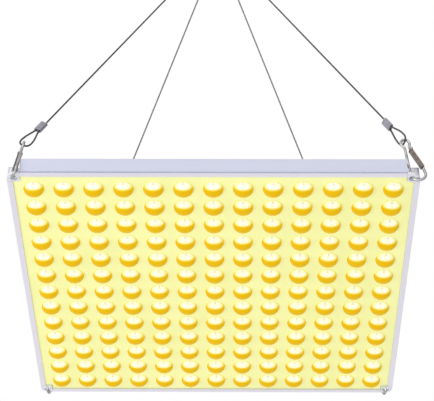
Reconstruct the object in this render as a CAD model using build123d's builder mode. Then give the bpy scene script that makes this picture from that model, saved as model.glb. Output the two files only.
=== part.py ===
"""LED grow light: a square panel that hangs face down from a four-leg wire-rope kit.

Row frame, millimetres: the origin is the hang point, the inside top of the upper hook's bow.
+Z is up, the lit face looks along -Z, and the panel's front edge is on the -Y side.
"""

import os
from math import cos, pi, radians, sin, tan

from build123d import *

os.makedirs("parts", exist_ok=True)

# ---- Driving dimensions ----
PANEL = 310.0  # outer side of the square frame
HALF = PANEL / 2
ROPE_RISE = 397.0  # from the lip plane up to where the ropes meet
CORNER = 10.0  # side of the square corner tab, and how far the rails stop short
GAP = 0.2  # clearance between pieces that are laid side by side

# Frame rail section, heights above the lip plane
LIP_W, LIP_T, LIP_EDGE_R = 4.5, 1.2, 0.35
SEAM_LOW, SEAM_TOP, SEAM_DEPTH, NECK_W = 0.5, 1.8, 0.8, 2.4
RAIL_W, RAIL_H, RAIL_WALL = 7.5, 14.0, 1.2
BOARD_LOW, BOARD_T = 1.25, 1.5
TUBE_LOW = BOARD_LOW + BOARD_T + 0.05

# Corner bracket
TAB_T, TAB_R = 1.5, 7.0
HOLE_IN, HOLE_R = 5.8, 3.0
WEB_FROM, WEB_H, WEB_T = 8.1, 6.0, 1.0
LEG_LONG, LEG_CLEAR = 14.0, 0.1

# LED array
GRID_N, PITCH = 13, 22.6
CHIP_SIDE, CHIP_T = 3.0, 0.8
LENS_R, LENS_H, FLANGE_T = 8.3, 6.6, 0.6
CAVITY_R, CAVITY_H = 2.8, 2.4

# Back plate and driver housing
PLATE, PLATE_T, PLATE_NOTCH = 303.0, 1.2, 13.0
VENT_L, VENT_W, VENT_STEP, VENT_ROW_X = 30.0, 3.0, 9.0, 105.0
BOX_X, BOX_Y, BOX_H, BOX_WALL = 130.0, 86.0, 24.0, 1.8
FOOT_X, FOOT_Y = 12.0, 14.0
PCB_X, PCB_Y, PCB_T, PCB_LIFT = 104.0, 50.0, 1.6, 4.0
BOX_CORNER_R, BOX_TOP_R, FOOT_CORNER_R, FIXING_IN = 6.0, 2.5, 2.0, 5.0
SIDE_VENTS, SIDE_VENT_STEP, SIDE_VENT_L, SIDE_VENT_W = 13, 6.0, 12.0, 2.4
HOLE_PLAY, INLET_PLAY, CUT_OVER = 0.1, 0.3, 1.0
# Blocks on the driver board: middle in X and Y from its centre line, width, depth and height
DRIVER_BLOCKS = (
    (-2.0, 0.0, 24.0, 22.0, 13.0), (-44.0, 8.0, 10.0, 16.0, 13.0),
    (24.0, -12.0, 20.0, 8.0, 9.0), (20.0, 10.0, 16.0, 12.0, 9.0),
)
BLOCK_EDGE_R, CAN_X, CAN_Y, CAN_R, CAN_H = 1.0, -28.0, 8.0, 6.0, 14.0
SCREW_R, SCREW_HEAD_R, SCREW_HEAD_T, RAIL_SCREW_IN = 1.5, 2.4, 0.9, 4.7
POST_R, POST_AT, RAIL_SCREW_STEP = 3.0, 79.1, 110.0
RECESS_L, RECESS_W = 2.6, 0.6

# Mains inlet on the housing's rear face
INLET_X, INLET_Z, INLET_FLANGE_T, INLET_DEEP = 30.0, 22.0, 2.0, 19.0
INLET_BODY_X, INLET_BODY_Z = 27.0, 19.6
SOCKET_X, SOCKET_Z, SOCKET_DEEP = 23.8, 16.0, 17.0
PIN_X, PIN_Z, PIN_LONG, PIN_STEP, PIN_RAISE = 2.0, 4.0, 12.4, 7.0, 2.0

# Snap hook, lower size; the upper one is HOOK_SCALE times as large
WIRE_R, BOW_R, HOOK_D = 1.05, 5.5, 31.6
GATE_HINGE, GATE_NOSE = (2.27, 23.9), (5.5, 6.3)
PIN_R, PIN_HOLE_R = 0.5, 0.55
GATE_SLOT, GATE_OUT, GATE_WEB, GATE_IN = 1.3, 1.8, 0.6, 1.3
HOOK_SCALE = 1.4

# Ring and ropes
RING_R, RING_HALF_Y, RING_BEND, RING_WIRE_R = 10.0, 9.5, 2.5, 1.25
ROPE_R, BARREL_STEP, BORE_R = 0.75, 1.0, 0.85
LOOP_GAP = 0.3
MOUTH_BEND = 8.0  # the rope's bend where it leaves a ferrule
LOW_LOOP, TOP_LOOP, FERRULE_L = 25.0, 21.0, 12.0
FERRULE_W, FERRULE_T = 6.2, 3.4
LOOP_FLARE, LOOP_TIP, LOOP_FLARE_AT = 4.6, 3.7, 9.0

LEAD_X, LEAD_STEP, LEAD_R, GROMMET_R = 34.0, 1.6, 0.8, 4.0
BOW_SHIFT = 4.4  # how far a lower hook's bow is centred beyond its hole
HOOK_PLAY = 0.1  # gap between a lower hook's bow and the tab that it holds

# ---- Heights in the row frame ----
HOOK_EYE_TOP = HOOK_D + 2.8
BOW_INNER = BOW_R - WIRE_R
TOP_EYE_Z = -(HOOK_EYE_TOP + BOW_INNER) * HOOK_SCALE
RING_TOP_Z = TOP_EYE_Z + WIRE_R * HOOK_SCALE + RING_WIRE_R + LOOP_GAP
RING_MID_Z = RING_TOP_Z - RING_R
APEX_Z = RING_MID_Z - RING_R
LIP_Z = APEX_Z - ROPE_RISE
PLATE_Z = LIP_Z + RAIL_H
BOX_Z = PLATE_Z + PLATE_T
INLET_MID_Z = BOX_Z + BOX_H / 2
PCB_Z = BOX_Z + PCB_LIFT
PCB_MID_X, PCB_MID_Y = 0.0, -12.0

# Each corner: its signs along X and Y, the way its hook's bow points in plan, in degrees, how far
# the hook's eye stands from its bow's centre in plan, how far the bow is slid sideways in its hole,
# which side the gate is on, the way that its lower loop faces, and where its upper loop sits along
# the ring's bar
CORNERS = {
    "front_left": ((-1, -1), -70.0, (2.8, 8.4), 0.75, -1, (0.95, 0.2, 0.0), -5.4),
    "front_right": ((1, -1), 0.0, (-8.4, 0.0), 0.0, 1, (0.49, -0.86, 0.0), -2.0),
    "rear_left": ((-1, 1), 80.0, (2.0, -5.0), 0.0, 1, (0.95, -0.3, 0.0), 2.0),
    "rear_right": ((1, 1), 100.0, (-2.0, -5.0), 0.0, 1, (0.95, 0.3, 0.0), 5.4),
}


def save(piece, name):
    """Label a finished piece and write it as its own STEP file."""
    piece.part.label = name
    export_step(piece.part, f"parts/{name}.step")


# ---- Frame rails ----
def make_rail(name, turn):
    """One extrusion: lip, seam groove, board slot and box wall, along the side at `turn` degrees."""
    outward = Vector(0, -1, 0).rotate(Axis.Z, turn)
    along = Vector(1, 0, 0).rotate(Axis.Z, turn)
    rail_long = PANEL - 2 * CORNER
    start = outward * HALF - along * (rail_long / 2) + Vector(0, 0, LIP_Z)
    section = Plane(origin=start, x_dir=-outward, z_dir=along)
    outline = [
        (0, 0), (LIP_W, 0), (LIP_W, LIP_T), (NECK_W, LIP_T), (NECK_W, TUBE_LOW),
        (RAIL_W, TUBE_LOW), (RAIL_W, RAIL_H), (0, RAIL_H), (0, SEAM_TOP),
        (SEAM_DEPTH, SEAM_TOP), (SEAM_DEPTH, SEAM_LOW), (0, SEAM_LOW),
    ]
    inner_low, inner_top = TUBE_LOW + RAIL_WALL, RAIL_H - RAIL_WALL
    with BuildPart() as rail:
        with BuildSketch(section) as face:
            with BuildLine():
                Polyline(*outline, close=True)
            make_face()
            fillet([v for v in face.vertices() if abs(v.Y) < GAP], LIP_EDGE_R)
            with Locations((RAIL_W / 2, (inner_low + inner_top) / 2)):
                Rectangle(RAIL_W - 2 * RAIL_WALL, inner_top - inner_low, mode=Mode.SUBTRACT)
        extrude(amount=rail_long)
    save(rail, name)


# ---- Corner brackets ----
def make_bracket(name, signs):
    """A casting: flat tab with the hook's hole, a low inner web and a leg into each rail's tube."""
    sx, sy = signs
    corner = Plane(origin=(sx * HALF, sy * HALF, LIP_Z), x_dir=(-sx, 0, 0), z_dir=(0, 0, sx * sy))
    top = sx * sy  # the sketch plane's own up: its normal points down at two of the corners
    end = CORNER - GAP
    leg_low = TUBE_LOW + RAIL_WALL + LEG_CLEAR
    leg_top = RAIL_H - RAIL_WALL - LEG_CLEAR
    leg_in, leg_out = RAIL_WALL + LEG_CLEAR, RAIL_W - RAIL_WALL - LEG_CLEAR
    with BuildPart() as bracket:
        with BuildSketch(corner) as tab:
            Rectangle(end, end, align=(Align.MIN, Align.MIN))
            fillet([v for v in tab.vertices() if v.X < GAP and v.Y < GAP], TAB_R)
            with Locations((HOLE_IN, HOLE_IN)):
                Circle(HOLE_R, mode=Mode.SUBTRACT)
        extrude(amount=TAB_T * top)
        with BuildSketch(corner):
            with Locations((WEB_FROM, WEB_FROM)):
                Rectangle(end - WEB_FROM, end - WEB_FROM, align=(Align.MIN, Align.MIN))
            with Locations((end - WEB_T, leg_in)):
                Rectangle(WEB_T, end - leg_in, align=(Align.MIN, Align.MIN))
            with Locations((leg_in, end - WEB_T)):
                Rectangle(end - leg_in, WEB_T, align=(Align.MIN, Align.MIN))
        extrude(amount=WEB_H * top)
        with BuildSketch(corner.offset(leg_low * top)):
            with Locations((end, leg_in)):
                Rectangle(LEG_LONG, leg_out - leg_in, align=(Align.MIN, Align.MIN))
            with Locations((leg_in, end)):
                Rectangle(leg_out - leg_in, LEG_LONG, align=(Align.MIN, Align.MIN))
        extrude(amount=(leg_top - leg_low) * top)
    save(bracket, name)


# ---- LED array ----
def make_board():
    """The aluminium-backed LED board, with its corners notched round the brackets."""
    side = 2 * (HALF - NECK_W - GAP)
    notch = side / 2 - (HALF - CORNER) + GAP
    with BuildPart() as board:
        with BuildSketch(Plane.XY.offset(LIP_Z + BOARD_LOW)):
            Rectangle(side, side)
            with GridLocations(side - notch, side - notch, 2, 2):
                Rectangle(notch, notch, mode=Mode.SUBTRACT)
        extrude(amount=BOARD_T)
    save(board, "led_board")


def make_chips():
    """One square chip under each lens."""
    with BuildPart() as chips:
        with BuildSketch(Plane.XY.offset(LIP_Z + BOARD_LOW)):
            with GridLocations(PITCH, PITCH, GRID_N, GRID_N):
                Rectangle(CHIP_SIDE, CHIP_SIDE)
        extrude(amount=-CHIP_T)
    save(chips, "led_chips")


def make_lenses():
    """The grid of clear domes, each a thin flange and a shallow dome over a hollow for its chip."""
    base = LIP_Z + BOARD_LOW
    dome_r = LENS_R - 0.5
    with BuildPart() as lenses:
        with BuildSketch(Plane.XZ):
            with BuildLine():
                Line((CAVITY_R, base), (LENS_R, base))
                Line((LENS_R, base), (LENS_R, base - FLANGE_T))
                Line((LENS_R, base - FLANGE_T), (dome_r, base - FLANGE_T))
                EllipticalCenterArc((0, base - FLANGE_T), dome_r, LENS_H - FLANGE_T,
                                    start_angle=270, arc_size=90)
                Line((0, base - LENS_H), (0, base - CAVITY_H))
                EllipticalCenterArc((0, base), CAVITY_R, CAVITY_H, start_angle=270, arc_size=90)
            make_face()
        revolve(axis=Axis.Z)
    one = lenses.part
    with BuildPart() as grid:
        with GridLocations(PITCH, PITCH, GRID_N, GRID_N):
            add(one)
    save(grid, "lenses")


# ---- Back plate, posts and screws ----
def make_back_plate():
    """Sheet plate over the rails, with notched corners, two fields of vents and the lead hole."""
    rows = int((PLATE / 2) // VENT_STEP)
    with BuildPart() as plate:
        with BuildSketch(Plane.XY.offset(PLATE_Z)):
            Rectangle(PLATE, PLATE)
            with GridLocations(PLATE - PLATE_NOTCH, PLATE - PLATE_NOTCH, 2, 2):
                Rectangle(PLATE_NOTCH, PLATE_NOTCH, mode=Mode.SUBTRACT)
            with GridLocations(2 * VENT_ROW_X, VENT_STEP, 2, rows):
                SlotOverall(VENT_L, VENT_W, mode=Mode.SUBTRACT)
            with Locations((LEAD_X, 0)):
                Circle(GROMMET_R, mode=Mode.SUBTRACT)
            with Locations(*rail_screw_places(), *post_places(), *foot_places()):
                Circle(SCREW_R + HOLE_PLAY, mode=Mode.SUBTRACT)
        extrude(amount=PLATE_T)
    save(plate, "back_plate")


def rail_screw_places():
    """Where the back plate is screwed to the rails: three places on each side."""
    line = HALF - RAIL_SCREW_IN
    steps = (-RAIL_SCREW_STEP, 0, RAIL_SCREW_STEP)
    return [(x, y) for x in steps for y in (-line, line)] + [
        (x, y) for x in (-line, line) for y in steps]


def post_places():
    """Where the posts stand that hold the board's middle, between lenses."""
    return [(x, y) for x in (-POST_AT, POST_AT) for y in (-POST_AT, POST_AT)]


def make_screws(name, places, low, shank):
    """Pan-head screws with a cross recess, heads on the plane at `low`, shanks going down."""
    with BuildPart() as screws:
        with BuildSketch(Plane.XY.offset(low)):
            with Locations(*places):
                Circle(SCREW_HEAD_R)
        extrude(amount=SCREW_HEAD_T)
        fillet(screws.edges().filter_by(GeomType.CIRCLE).group_by(Axis.Z)[-1], SCREW_HEAD_T * 0.6)
        with BuildSketch(Plane.XY.offset(low)):
            with Locations(*places):
                Circle(SCREW_R)
        extrude(amount=-shank)
        with BuildSketch(Plane.XY.offset(low + SCREW_HEAD_T)):
            with Locations(*places):
                Rectangle(RECESS_L, RECESS_W)
                Rectangle(RECESS_W, RECESS_L)
        extrude(amount=-SCREW_HEAD_T * 0.5, mode=Mode.SUBTRACT)
    save(screws, name)


def make_posts():
    """Threaded posts between the LED board and the back plate."""
    low = LIP_Z + BOARD_LOW + BOARD_T
    with BuildPart() as posts:
        with BuildSketch(Plane.XY.offset(low)):
            with Locations(*post_places()):
                RegularPolygon(POST_R, 6)
                Circle(SCREW_R, mode=Mode.SUBTRACT)
        extrude(amount=PLATE_Z - low)
    save(posts, "board_posts")


# ---- Driver ----
def make_housing():
    """Driver housing: an open-bottomed box with rounded edges, feet, side vents and inlet hole."""
    with BuildPart() as housing:
        with BuildSketch(Plane.XY.offset(BOX_Z)):
            RectangleRounded(BOX_X, BOX_Y, BOX_CORNER_R)
        extrude(amount=BOX_H)
        fillet(housing.edges().group_by(Axis.Z)[-1], BOX_TOP_R)
        with BuildSketch(Plane.XY.offset(BOX_Z)):
            RectangleRounded(BOX_X - 2 * BOX_WALL, BOX_Y - 2 * BOX_WALL, BOX_CORNER_R - BOX_WALL)
        extrude(amount=BOX_H - BOX_WALL, mode=Mode.SUBTRACT)
        with BuildSketch(Plane.XY.offset(BOX_Z)):
            with Locations(*foot_places()):
                RectangleRounded(FOOT_X + 2 * CUT_OVER, FOOT_Y, FOOT_CORNER_R)
        extrude(amount=BOX_WALL)
        with BuildSketch(Plane.XY.offset(BOX_Z)):
            with Locations(*foot_places()):
                Circle(SCREW_R + HOLE_PLAY)
        extrude(amount=BOX_WALL, mode=Mode.SUBTRACT)
        with BuildSketch(Plane.XZ.offset(BOX_Y / 2)):
            with Locations((0, BOX_Z + BOX_H / 2)):
                with GridLocations(SIDE_VENT_STEP, 1.0, SIDE_VENTS, 1):
                    SlotOverall(SIDE_VENT_L, SIDE_VENT_W, rotation=90)
        extrude(amount=-BOX_WALL - CUT_OVER, mode=Mode.SUBTRACT)
        with BuildSketch(Plane.XZ.offset(-BOX_Y / 2)):
            with Locations((0, INLET_MID_Z)):
                Rectangle(INLET_BODY_X + INLET_PLAY, INLET_BODY_Z + INLET_PLAY)
        extrude(amount=BOX_WALL + CUT_OVER, mode=Mode.SUBTRACT)
    save(housing, "driver_housing")


def foot_places():
    """Centres of the housing's four screw feet, just outside its side walls."""
    x, y = BOX_X / 2 + FOOT_X / 2 - CUT_OVER, BOX_Y / 2 - FOOT_Y
    return [(-x, -y), (-x, y), (x, -y), (x, y)]


def pcb_places():
    """The driver board's four fixing holes."""
    x, y = PCB_X / 2 - FIXING_IN, PCB_Y / 2 - FIXING_IN
    return [(PCB_MID_X + sx * x, PCB_MID_Y + sy * y) for sx in (-1, 1) for sy in (-1, 1)]


def make_driver_board():
    """The bare driver board, with its fixing holes and the output leads' holes."""
    with BuildPart() as board:
        with BuildSketch(Plane.XY.offset(PCB_Z)):
            with Locations((PCB_MID_X, PCB_MID_Y)):
                Rectangle(PCB_X, PCB_Y)
            with Locations(*pcb_places()):
                Circle(SCREW_R + HOLE_PLAY, mode=Mode.SUBTRACT)
            with Locations(*lead_places()):
                Circle(LEAD_R + HOLE_PLAY, mode=Mode.SUBTRACT)
        extrude(amount=PCB_T)
    save(board, "driver_board")


def make_driver_parts():
    """Transformer, terminal block, two capacitors, choke and filter, on the driver board."""
    top = PCB_Z + PCB_T
    with BuildPart() as parts:
        for x, y, wide, deep, high in DRIVER_BLOCKS:
            with BuildSketch(Plane.XY.offset(top)):
                with Locations((x, PCB_MID_Y + y)):
                    RectangleRounded(wide, deep, BLOCK_EDGE_R)
            extrude(amount=high)
        with BuildSketch(Plane.XY.offset(top)):
            with Locations(*[(CAN_X, PCB_MID_Y + y) for y in (-CAN_Y, CAN_Y)]):
                Circle(CAN_R)
        extrude(amount=CAN_H)
    save(parts, "driver_components")


def make_pcb_posts():
    """Threaded posts under the driver board."""
    with BuildPart() as posts:
        with BuildSketch(Plane.XY.offset(BOX_Z)):
            with Locations(*pcb_places()):
                RegularPolygon(POST_R, 6)
                Circle(SCREW_R, mode=Mode.SUBTRACT)
        extrude(amount=PCB_LIFT)
    save(posts, "driver_posts")


def lead_places():
    """Where the two output leads go down from the driver board."""
    return [(LEAD_X, -LEAD_STEP), (LEAD_X, LEAD_STEP)]


def make_grommet():
    """Rubber grommet in the back plate, grooved round the hole's edge, with the leads' holes."""
    lip, waist = GROMMET_R + 1.5, GROMMET_R - 0.05
    with BuildPart() as grommet:
        for start, thick, radius in ((-1.0, 1.0, lip), (0, PLATE_T, waist), (PLATE_T, 1.0, lip)):
            with BuildSketch(Plane.XY.offset(PLATE_Z + start)):
                with Locations((LEAD_X, 0)):
                    Circle(radius)
            extrude(amount=thick)
        with BuildSketch(Plane.XY.offset(PLATE_Z - 1.0)):
            with Locations(*lead_places()):
                Circle(LEAD_R + HOLE_PLAY)
        extrude(amount=PLATE_T + 2.0, mode=Mode.SUBTRACT)
    save(grommet, "lead_grommet")


def make_leads():
    """Two straight output leads, from the driver board down to the LED board."""
    low = LIP_Z + BOARD_LOW + BOARD_T
    with BuildPart() as leads:
        with BuildSketch(Plane.XY.offset(low)):
            with Locations(*lead_places()):
                Circle(LEAD_R)
        extrude(amount=PCB_Z + PCB_T + 1.0 - low)
    save(leads, "output_leads")


# ---- Mains inlet ----
def make_inlet():
    """Inlet body: a flange outside the housing's rear face and a socket with two cut corners."""
    face = Plane.XZ.offset(-BOX_Y / 2)
    front = Plane.XZ.offset(-BOX_Y / 2 - INLET_FLANGE_T)
    with BuildPart() as inlet:
        with BuildSketch(face):
            with Locations((0, INLET_MID_Z)):
                RectangleRounded(INLET_X, INLET_Z, 2.0)
        extrude(amount=-INLET_FLANGE_T)
        with BuildSketch(face):
            with Locations((0, INLET_MID_Z)):
                Rectangle(INLET_BODY_X, INLET_BODY_Z)
        extrude(amount=INLET_DEEP)
        with BuildSketch(front) as socket:
            with Locations((0, INLET_MID_Z)):
                Rectangle(SOCKET_X, SOCKET_Z)
            chamfer(socket.vertices().group_by(Axis.Y)[-1], 4.5)
        extrude(amount=SOCKET_DEEP, mode=Mode.SUBTRACT)
        with BuildSketch(Plane.XZ.offset(-BOX_Y / 2 - INLET_FLANGE_T + SOCKET_DEEP)):
            with Locations(*pin_places()):
                Rectangle(PIN_X + HOLE_PLAY, PIN_Z + HOLE_PLAY)
        extrude(amount=INLET_DEEP, mode=Mode.SUBTRACT)
    save(inlet, "inlet_body")


def pin_places():
    """The inlet's three pins, seen from behind the housing: two low, the earth pin raised."""
    return [(-PIN_STEP, INLET_MID_Z - PIN_RAISE), (PIN_STEP, INLET_MID_Z - PIN_RAISE),
            (0, INLET_MID_Z + PIN_RAISE)]


def make_inlet_pins():
    """Three flat blades with chamfered tips, and tails that stand out behind the body."""
    floor = -BOX_Y / 2 - INLET_FLANGE_T + SOCKET_DEEP
    with BuildPart() as pins:
        with BuildSketch(Plane.XZ.offset(floor - PIN_LONG)):
            with Locations(*pin_places()):
                Rectangle(PIN_X, PIN_Z)
        extrude(amount=PIN_LONG + 7.0)
        chamfer(pins.faces().sort_by(Axis.Y)[-3:].edges(), 0.4)
    save(pins, "inlet_pins")


# ---- Snap hooks ----
def hook_plane(bow_mid, eye_way, bow_way):
    """The plane of a snap hook: x towards the bow's outer side, y from the bow to the eye."""
    y_dir = Vector(*eye_way).normalized()
    flat = Vector(*bow_way)
    x_dir = (flat - y_dir * flat.dot(y_dir)).normalized()
    return Plane(origin=bow_mid, x_dir=x_dir, z_dir=x_dir.cross(y_dir))


def make_hook(name, plane, size, gate_side):
    """The bent wire: nose, round bow, fixed arm, neck, eye and the stub that carries the gate."""
    x, top = 1.75, HOOK_D - 4.8
    route = [
        (BOW_R, GATE_NOSE[1] + 0.7), (BOW_R, -BOW_R), (-BOW_R, -BOW_R), (-BOW_R, 2.5), (-x, top),
        (-3.4, HOOK_D - 1.2), (-2.2, HOOK_EYE_TOP), (2.2, HOOK_EYE_TOP), (3.4, HOOK_D - 1.2),
        (x, top), (GATE_HINGE[0] + 0.15, GATE_HINGE[1] - 1.1),
    ]
    bends = [BOW_R - 0.1, BOW_R - 0.1, 20, 3, 2.6, 2.4, 2.4, 2.6, 3]
    route = [(px * size * gate_side, py * size) for px, py in route]
    with BuildPart() as hook:
        with BuildLine(plane) as line:
            FilletPolyline(*route, radius=[bend * size for bend in bends])
        start = line.line @ 0
        with BuildSketch(Plane(origin=start, z_dir=line.line % 0)):
            Circle(WIRE_R * size)
        sweep()
        with BuildSketch(plane.offset(-WIRE_R * size - 1.0)):
            with Locations((GATE_HINGE[0] * size * gate_side, GATE_HINGE[1] * size)):
                Circle(PIN_HOLE_R * size)
        extrude(amount=2 * WIRE_R * size + 2.0, mode=Mode.SUBTRACT)
    save(hook, name)


def make_gate(name, plane, size, gate_side):
    """The folded gate: two flanges either side of the wire and a web on the hook's inner side."""
    hinge = Vector(GATE_HINGE[0] * size * gate_side, GATE_HINGE[1] * size)
    nose = Vector(GATE_NOSE[0] * size * gate_side, GATE_NOSE[1] * size)
    reach = nose - hinge
    long = reach.length + 1.2 * size
    pivot = plane.from_local_coords(hinge)
    way = (plane.from_local_coords(nose) - pivot).normalized()
    out = plane.z_dir.cross(way) * -gate_side
    out = out if out.dot(plane.x_dir) * gate_side > 0 else -out
    side = Plane(origin=pivot, x_dir=way, z_dir=plane.z_dir)
    up = 1 if side.y_dir.dot(out) > 0 else -1
    low, high, web = -(GATE_IN + GATE_WEB) * size, 0.9 * size, GATE_WEB * size
    with BuildPart() as gate:
        with BuildSketch(side.offset(-GATE_OUT * size)):
            with Locations((long / 2, up * (low + high) / 2)):
                Rectangle(long, high - low)
            Circle(1.5 * size)
        extrude(amount=2 * GATE_OUT * size)
        with BuildSketch(side.offset(-GATE_SLOT * size)):
            with Locations((long / 2 - size, up * (low + web + 3 * size / 2))):
                Rectangle(long + 4 * size, 3 * size)
            Rectangle(3.4 * size, 6 * size)
        extrude(amount=2 * GATE_SLOT * size, mode=Mode.SUBTRACT)
        with BuildSketch(side.offset(-GATE_OUT * size)):
            Circle(PIN_R * size)
        extrude(amount=2 * GATE_OUT * size, mode=Mode.SUBTRACT)
    save(gate, name)
    return pivot


def make_gate_pin(name, plane, size, gate_side):
    """The rivet that the gate turns on, with a flat head on each side."""
    hinge = (GATE_HINGE[0] * size * gate_side, GATE_HINGE[1] * size)
    with BuildPart() as pin:
        with BuildSketch(plane.offset(-(GATE_OUT + 0.3) * size)):
            with Locations(hinge):
                Circle(PIN_R * size)
        extrude(amount=2 * (GATE_OUT + 0.3) * size)
        for offset in (GATE_OUT, -GATE_OUT - 0.3):
            with BuildSketch(plane.offset(offset * size)):
                with Locations(hinge):
                    Circle(0.9 * size)
            extrude(amount=0.3 * size)
    save(pin, name)


# ---- Ring, ropes and ferrules ----
def make_ring():
    """The steel ring, upright in the YZ plane: round above, with a straight bar for the ropes."""
    route = [(-RING_HALF_Y, RING_R), (-RING_HALF_Y, -RING_R),
             (RING_HALF_Y, -RING_R), (RING_HALF_Y, RING_R)]
    bends = [RING_HALF_Y - GAP, RING_BEND, RING_BEND, RING_HALF_Y - GAP]
    with BuildPart() as ring:
        with BuildLine(Plane(origin=(0, 0, RING_MID_Z), x_dir=(0, 1, 0), z_dir=(1, 0, 0))) as line:
            FilletPolyline(*route, radius=bends, close=True)
        with BuildSketch(Plane(origin=line.line @ 0, z_dir=line.line % 0)):
            Circle(RING_WIRE_R)
        sweep()
    save(ring, "top_ring")


def rope_route(low_tip, ring_point, low_side, top_side):
    """A rope's corner points and bends, from its lower dead end to its upper one."""
    up = (ring_point - low_tip).normalized()
    top_tip = ring_point + up * (RING_WIRE_R + ROPE_R + LOOP_GAP)
    loop = [(-BARREL_STEP, FERRULE_L - 0.5), (-BARREL_STEP, 0), (-LOOP_FLARE, LOOP_FLARE_AT),
            (-LOOP_TIP, 0), (LOOP_TIP, 0), (LOOP_FLARE, LOOP_FLARE_AT), (BARREL_STEP, 0)]
    points, radii = [], []
    for tip, way, side, length in ((low_tip, up, low_side, LOW_LOOP), (top_tip, -up, top_side, TOP_LOOP)):
        across = (side - way * side.dot(way)).normalized()
        along = [length + loop[0][1], length, loop[2][1], 0, 0, loop[5][1], length]
        turn = [tip + across * b + way * a for (b, _), a in zip(loop, along)]
        points += turn if not points else turn[::-1]
    for before, here, after in zip(points, points[1:], points[2:]):
        angle = (here - before).get_angle(after - here)
        shorter = min((here - before).length, (after - here).length, 60.0)
        radii.append(0.45 * shorter / tan(radians(angle) / 2))
    for mouth in (0, 5, 6, 11):
        radii[mouth] = MOUTH_BEND
    return points, radii


def make_rope(name, points, radii):
    """A wire rope along its route, with its two end loops."""
    with BuildPart() as rope:
        with BuildLine() as line:
            FilletPolyline(*points, radius=radii)
        with BuildSketch(Plane(origin=line.line @ 0, z_dir=line.line % 0)):
            Circle(ROPE_R)
        sweep()
    length = sum(edge.length for edge in line.line.edges())
    expected = pi * ROPE_R**2 * length
    print(f"{name}: {length:.1f} mm long, volume {rope.part.volume:.1f} of {expected:.1f}")
    print("  radii", [round(r, 1) for r in radii])
    print("  points", [tuple(round(c, 2) for c in p) for p in points])
    save(rope, name)


def make_ferrule(name, mouth, way, across):
    """A flattened double-barrel sleeve, `way` leading from its loop end to its rope end."""
    plane = Plane(origin=mouth, x_dir=across, z_dir=way)
    with BuildPart() as ferrule:
        with BuildSketch(plane):
            SlotOverall(FERRULE_W, FERRULE_T)
        extrude(amount=FERRULE_L)
        ends = ferrule.faces().filter_by(GeomType.PLANE)
        chamfer([e for f in ends for e in f.edges() if abs(f.normal_at().dot(way)) > 0.9], 0.3)
        with BuildSketch(plane):
            with Locations((-BARREL_STEP, 0), (BARREL_STEP, 0)):
                Circle(BORE_R)
        extrude(amount=FERRULE_L, mode=Mode.SUBTRACT)
    save(ferrule, name)


# ---- The whole light ----
def make_corner(name, signs, bow_turn, eye_shift, slide, gate_side, loop_side, ring_y):
    """One corner: bracket, snap hook, gate, pin, rope and its two ferrules."""
    sx, sy = signs
    make_bracket(f"corner_bracket_{name}", signs)
    way = Vector(cos(radians(bow_turn)), sin(radians(bow_turn)), 0)
    hole = Vector(sx * (HALF - HOLE_IN), sy * (HALF - HOLE_IN), LIP_Z)
    aside = Vector(0, 0, sx * sy).cross(way)
    bow_mid = hole + way * BOW_SHIFT + aside * -slide + Vector(0, 0, BOW_R - WIRE_R - HOOK_PLAY)
    flat_reach = Vector(*eye_shift).length
    eye_way = Vector(*eye_shift, (HOOK_D**2 - flat_reach**2) ** 0.5)
    plane = hook_plane(bow_mid, eye_way, way)
    make_hook(f"clip_{name}", plane, 1.0, gate_side)
    pivot = make_gate(f"gate_{name}", plane, 1.0, gate_side)
    make_gate_pin(f"gate_pin_{name}", plane, 1.0, gate_side)
    turn = plane.z_dir * -gate_side
    print(f"{name}: low tip {tuple(round(c, 3) for c in plane.from_local_coords((0, HOOK_D + 0.6, 0)))}")
    print(f"{name}: gate pivot {tuple(round(c, 3) for c in pivot)}, axis {tuple(round(c, 5) for c in turn)}")
    print(f"  bow middle {tuple(round(c, 2) for c in bow_mid)}, x {plane.x_dir}, y {plane.y_dir}")

    low_tip = plane.from_local_coords((0, HOOK_D + 0.6, 0))
    ring_point = Vector(0, ring_y, APEX_Z)
    low_side = Vector(*loop_side)
    points, radii = rope_route(low_tip, ring_point, low_side, Vector(sx, 0, 0))
    make_rope(f"rope_{name}", points, radii)
    for kind, dead, end, live in (("lower", 1, 0, 6), ("upper", 12, 13, 7)):
        lengthways = (points[end] - points[dead]).normalized()
        across = (points[live] - points[dead]).normalized()
        mouth = (points[dead] + points[live]) / 2
        make_ferrule(f"{kind}_ferrule_{name}", mouth, lengthways, across)


def main():
    """Make every piece."""
    for name, turn in (("front_rail", 0), ("right_rail", 90), ("rear_rail", 180), ("left_rail", 270)):
        make_rail(name, turn)
    make_board()
    make_chips()
    make_lenses()
    make_back_plate()
    make_screws("back_plate_screws", rail_screw_places(), BOX_Z, RAIL_WALL)
    make_screws("post_screws", post_places(), BOX_Z, RAIL_WALL + 4.0)
    make_posts()
    make_housing()
    make_screws("housing_screws", foot_places(), BOX_Z + BOX_WALL, BOX_WALL + PLATE_T + 1.0)
    make_driver_board()
    make_driver_parts()
    make_pcb_posts()
    make_screws("driver_screws", pcb_places(), PCB_Z + PCB_T, PCB_T + 2.0)
    make_grommet()
    make_leads()
    make_inlet()
    make_inlet_pins()
    for name, corner in CORNERS.items():
        make_corner(name, *corner)
    make_ring()
    top_bow = Vector(0, 0, -BOW_INNER * HOOK_SCALE)
    plane = hook_plane(top_bow, (0, 0, -1), (1, 0, 0))
    make_hook("top_hook", plane, HOOK_SCALE, 1)
    pivot = make_gate("top_gate", plane, HOOK_SCALE, 1)
    make_gate_pin("top_gate_pin", plane, HOOK_SCALE, 1)
    print("top gate pivot", pivot, "axis", -plane.z_dir)
    print("heights: eye", TOP_EYE_Z, "apex", APEX_Z, "lip", LIP_Z)


main()
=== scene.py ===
"""Visual model of a hanging LED grow-light panel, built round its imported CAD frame."""
from __future__ import annotations

import logging
import math
from dataclasses import dataclass
from enum import Enum

import bmesh
import bpy
from mathutils import Matrix, Vector

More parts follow.
